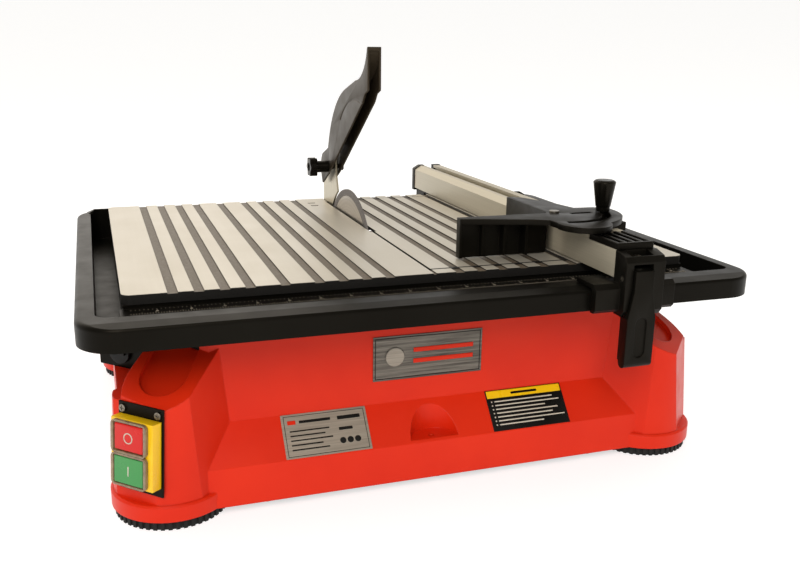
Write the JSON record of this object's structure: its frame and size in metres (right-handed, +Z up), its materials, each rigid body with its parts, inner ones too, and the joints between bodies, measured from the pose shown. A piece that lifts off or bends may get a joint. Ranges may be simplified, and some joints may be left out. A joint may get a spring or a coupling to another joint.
{
  "type": "tabletop tile cutter",
  "caption": "Tabletop wet tile saw with a drip tray and reservoir, strip-topped deck, diamond blade, tilting guard, sliding rip fence and swivelling mitre guide.",
  "frame": {"origin": "centre of the footprint on the bench: X 0 is the plane of the blade, Z 0 is under the feet", "axes": "+X right across the deck, +Y back along the cut, +Z up"},
  "size_m": [0.576, 0.518, 0.3685],
  "materials": {
    "red_plastic": "moulded ABS with a fine sheen",
    "black_plastic": "fine moulded texture",
    "tray_plastic": "satin moulded",
    "guard_plastic": "satin moulded",
    "knob_plastic": "satin moulded",
    "yellow_plastic": "glossy moulded",
    "clear_frame": "smoky translucent",
    "red_button": "glossy",
    "green_button": "glossy",
    "foot_rubber": "matt ribbed",
    "plug_rubber": "matt",
    "seal_rubber": "matt",
    "deck_coating": "brushed strips between matt grooves",
    "rail_aluminium": "satin anodised extrusion",
    "motor_casting": "cast, bead blasted",
    "zinc_steel": "zinc plated",
    "bearing_steel": "ground",
    "lamination_steel": "stacked laminations",
    "blade_steel": "ground core, diamond grit rim",
    "knife_steel": "zinc plated sheet",
    "badge_metal": "dark brushed",
    "silver_label": "satin foil",
    "black_label": "printed foil",
    "cream_plastic": "moulded"
  },
  "bodies": {
    "base": {"base_housing": "red_plastic", "bottom_cover": "black_plastic", "switch_plate": "black_plastic", "cable_gland": "black_plastic", "switch_unit": "black_plastic", "tray": "tray_plastic", "water_reservoir": "tray_plastic", "switch_housing": "yellow_plastic", "button_covers": "clear_frame", "foot_front_left": "foot_rubber", "foot_front_right": "foot_rubber", "foot_back_left": "foot_rubber", "foot_back_right": "foot_rubber", "shaft_seal": "seal_rubber", "deck": "deck_coating", "access_panel": "deck_coating", "motor_housing": "motor_casting", "motor_end_bell": "motor_casting", "cover_screws": "zinc_steel", "foot_screws": "zinc_steel", "switch_screws": "zinc_steel", "panel_screws": "zinc_steel", "motor_bolts": "zinc_steel", "knife_bolts": "zinc_steel", "capacitor_clip": "zinc_steel", "front_bearing": "bearing_steel", "rear_bearing": "bearing_steel", "motor_stator": "lamination_steel", "riving_knife": "knife_steel", "knife_bracket": "knife_steel", "front_badge": "badge_metal", "rating_plate": "silver_label", "notice_plate": "black_label", "run_capacitor": "cream_plastic"},
    "arbor": {"blade": "blade_steel", "inner_flange": "zinc_steel", "outer_flange": "zinc_steel", "arbor_nut": "zinc_steel", "motor_shaft": "zinc_steel", "motor_rotor": "lamination_steel", "motor_fan": "black_plastic"},
    "guard": {"blade_guard": "guard_plastic"},
    "guard_clamp": {"guard_knob": "knob_plastic"},
    "fence": {"fence_rail": "rail_aluminium", "fence_end_housing": "black_plastic", "fence_top_pad": "black_plastic", "draw_rod": "zinc_steel", "fence_hook": "black_plastic", "lever_pin": "zinc_steel"},
    "lever": {"clamp_lever": "black_plastic"},
    "mitre_carriage": {"mitre_slide": "black_plastic", "mitre_pivot": "zinc_steel", "angle_pointer": "cream_plastic"},
    "mitre_head": {"mitre_guide": "black_plastic"},
    "mitre_clamp": {"mitre_knob": "knob_plastic"},
    "stop": {"stop_button": "red_button"},
    "start": {"start_button": "green_button"},
    "plug": {"drain_plug": "plug_rubber"}
  },
  "joints": [
    {"name": "blade_spin", "type": "hinge", "parent": "base", "child": "arbor", "pos_m": [0, 0.0846, 0.1247], "axis": [1, 0, 0], "continuous": true},
    {"name": "guard_tilt", "type": "hinge", "parent": "base", "child": "guard", "pos_m": [0, 0.1527, 0.2323], "axis": [1, 0, 0], "range_deg": [-10, 33]},
    {"name": "guard_knob_turn", "type": "hinge", "parent": "base", "child": "guard_clamp", "pos_m": [-0.02, 0.1527, 0.2323], "axis": [1, 0, 0], "range_deg": [-180, 180]},
    {"name": "fence_slide", "type": "slide", "parent": "base", "child": "fence", "axis": [1, 0, 0], "range_m": [-0.12, 0.065]},
    {"name": "lever_swing", "type": "hinge", "parent": "fence", "child": "lever", "pos_m": [0.154, -0.25, 0.189], "axis": [1, 0, 0], "range_deg": [-100, 0]},
    {"name": "mitre_slide_travel", "type": "slide", "parent": "fence", "child": "mitre_carriage", "axis": [0, 1, 0], "range_m": [-0.015, 0.2]},
    {"name": "mitre_swivel", "type": "hinge", "parent": "mitre_carriage", "child": "mitre_head", "pos_m": [0.1356, -0.133, 0.22], "axis": [0, 0, 1], "range_deg": [0, 60]},
    {"name": "mitre_knob_turn", "type": "hinge", "parent": "mitre_carriage", "child": "mitre_clamp", "pos_m": [0.1831, -0.1395, 0.235], "axis": [0, 0, 1], "range_deg": [-180, 180]},
    {"name": "stop_press", "type": "slide", "parent": "base", "child": "stop", "axis": [0.7044, 0.7044, -0.0872], "range_m": [0, 0.003], "stiffness_N_per_m": 1500},
    {"name": "start_press", "type": "slide", "parent": "base", "child": "start", "axis": [0.7044, 0.7044, -0.0872], "range_m": [0, 0.003], "stiffness_N_per_m": 1500},
    {"name": "plug_pull", "type": "slide", "parent": "base", "child": "plug", "axis": [-0.7071, -0.7071, 0], "range_m": [0, 0.025]}
  ]
}
